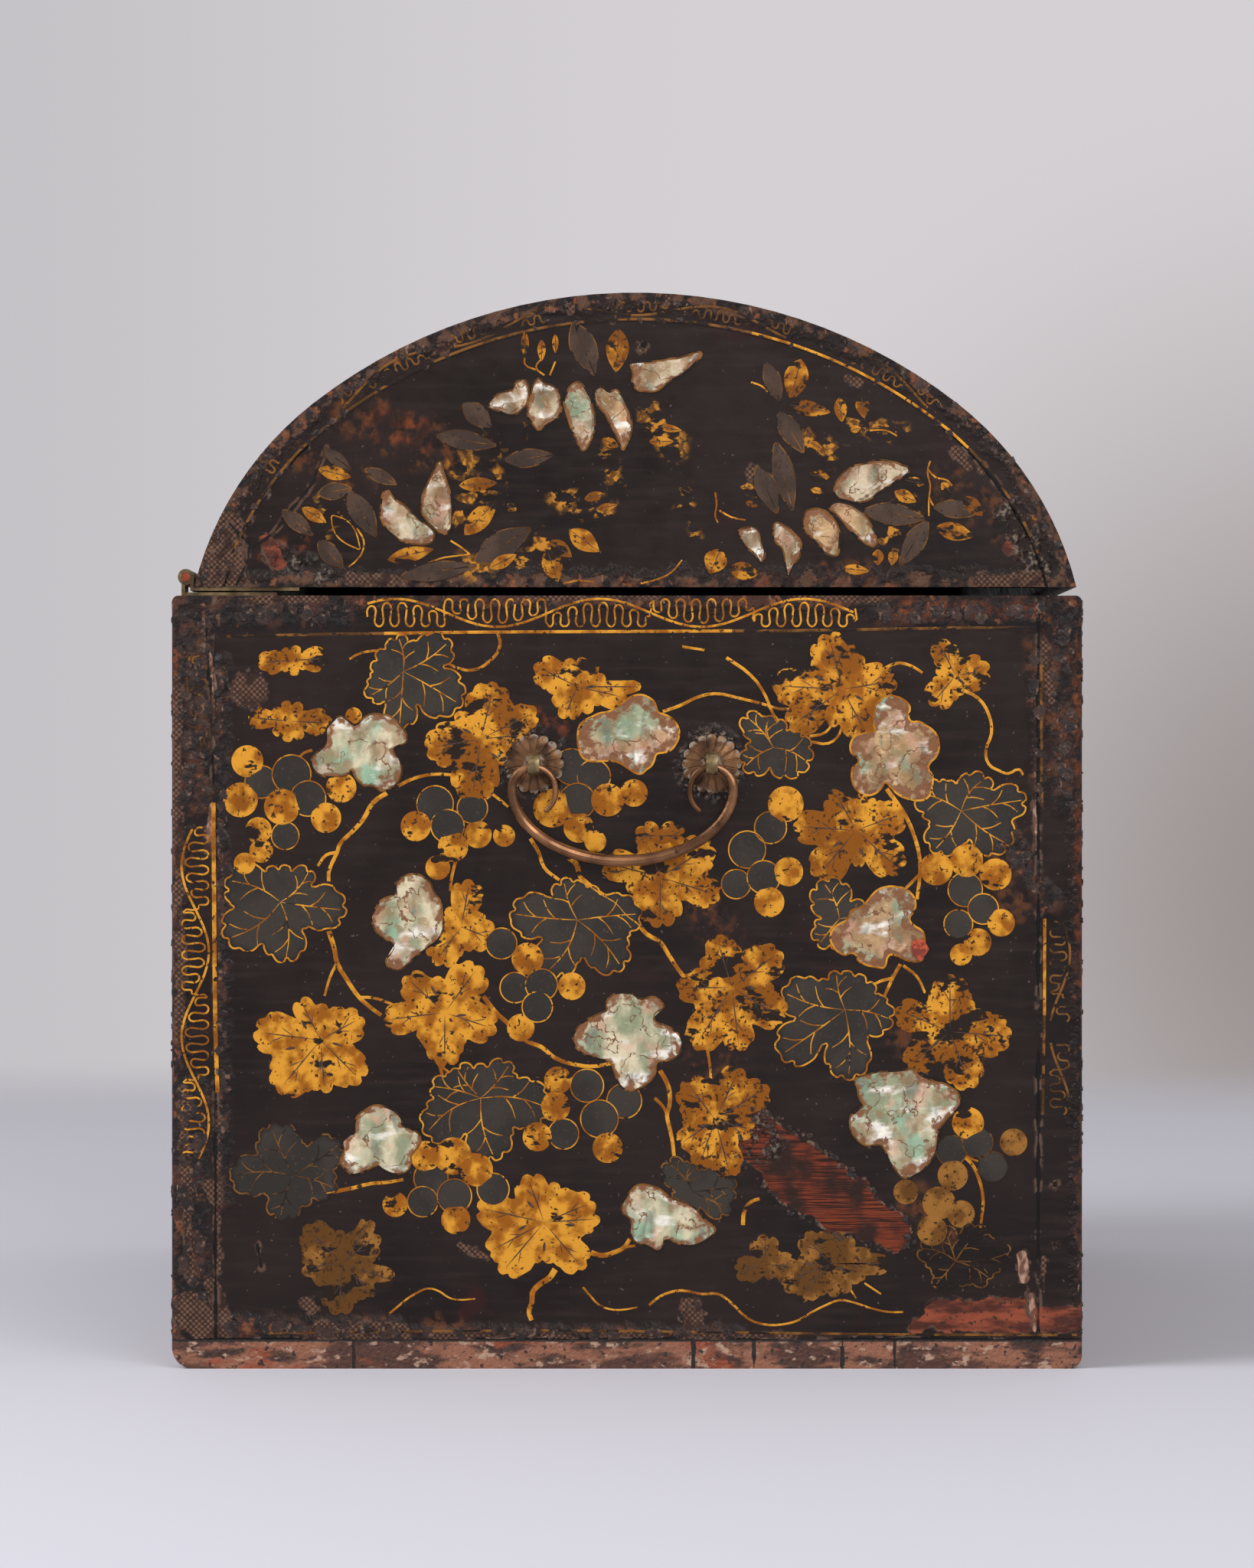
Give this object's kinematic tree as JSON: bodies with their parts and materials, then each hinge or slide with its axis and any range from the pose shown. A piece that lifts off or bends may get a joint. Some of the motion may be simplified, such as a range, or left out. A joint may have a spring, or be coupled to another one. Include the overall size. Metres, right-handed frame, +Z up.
{
  "type": "lacquer coffer",
  "caption": "Lacquered wooden coffer with a coopered dome lid on back hinges, a curled bail handle on rosettes at each end and a hasp over a staple.",
  "frame": {"origin": "middle of the underside of the box, on the plane that it stands on", "axes": "+X along the length, the pictured end is at -X; the front with the hasp faces -Y and the hinges are at +Y; +Z up"},
  "size_m": [0.6022, 0.3508, 0.39],
  "materials": {
    "black_lacquer": "worn urushi lacquer over cloth and wood, soft gloss",
    "gold_lacquer": "sprinkled gold lacquer, worn satin",
    "mother_of_pearl": "inlaid shell, polished, pearly",
    "peg_wood": "bare split wood",
    "patinated_copper": "brown patinated copper, rubbed bright on its high places",
    "gilt_copper": "worn gilt copper, dull",
    "nail_copper": "dark copper"
  },
  "bodies": {
    "box": {"bottom_board": "black_lacquer", "front_board": "black_lacquer", "back_board": "black_lacquer", "left_end_board": "black_lacquer", "right_end_board": "black_lacquer", "corner_pegs": "peg_wood", "bottom_pegs": "peg_wood", "left_front_rosette": "patinated_copper", "left_back_rosette": "patinated_copper", "right_front_rosette": "patinated_copper", "right_back_rosette": "patinated_copper", "left_hinge_pin": "patinated_copper", "right_hinge_pin": "patinated_copper", "left_front_eye": "gilt_copper", "left_back_eye": "gilt_copper", "right_front_eye": "gilt_copper", "right_back_eye": "gilt_copper", "left_box_leaf": "gilt_copper", "right_box_leaf": "gilt_copper", "escutcheon": "gilt_copper", "staple": "gilt_copper", "box_leaf_nails": "nail_copper", "escutcheon_nails": "nail_copper"},
    "lid": {"left_lid_leaf": "gilt_copper", "right_lid_leaf": "gilt_copper", "lid_leaf_nails": "nail_copper", "left_tympanum": "black_lacquer", "right_tympanum": "black_lacquer", "stave_1": "black_lacquer", "stave_2": "black_lacquer", "stave_3": "black_lacquer", "stave_4": "black_lacquer", "stave_5": "black_lacquer", "stave_6": "black_lacquer", "stave_7": "black_lacquer", "stave_8": "black_lacquer", "stave_9": "black_lacquer", "stave_10": "black_lacquer", "stave_11": "black_lacquer", "stave_12": "black_lacquer", "stave_13": "black_lacquer", "stave_14": "black_lacquer", "stave_15": "black_lacquer", "stave_pegs": "peg_wood", "hasp_leaf": "gilt_copper", "hasp_leaf_nails": "nail_copper", "hasp_pin": "patinated_copper"},
    "left_bail": {"left_bail": "patinated_copper"},
    "right_bail": {"right_bail": "patinated_copper"},
    "hasp": {"hasp": "gilt_copper"}
  },
  "joints": [
    {"name": "lid_hinge", "type": "hinge", "parent": "box", "child": "lid", "pos_m": [0, 0.1601, 0.2869], "axis": [-1, 0, 0], "range_deg": [0, 110]},
    {"name": "left_bail_swing", "type": "hinge", "parent": "box", "child": "left_bail", "pos_m": [-0.29705, 0.0015, 0.2179], "axis": [0, 1, 0], "range_deg": [-7, 185]},
    {"name": "right_bail_swing", "type": "hinge", "parent": "box", "child": "right_bail", "pos_m": [0.29705, 0.0015, 0.2179], "axis": [0, -1, 0], "range_deg": [-7, 185]},
    {"name": "hasp_swing", "type": "hinge", "parent": "lid", "child": "hasp", "pos_m": [0, -0.1675, 0.287], "axis": [-1, 0, 0], "range_deg": [-11.5, 160]}
  ]
}
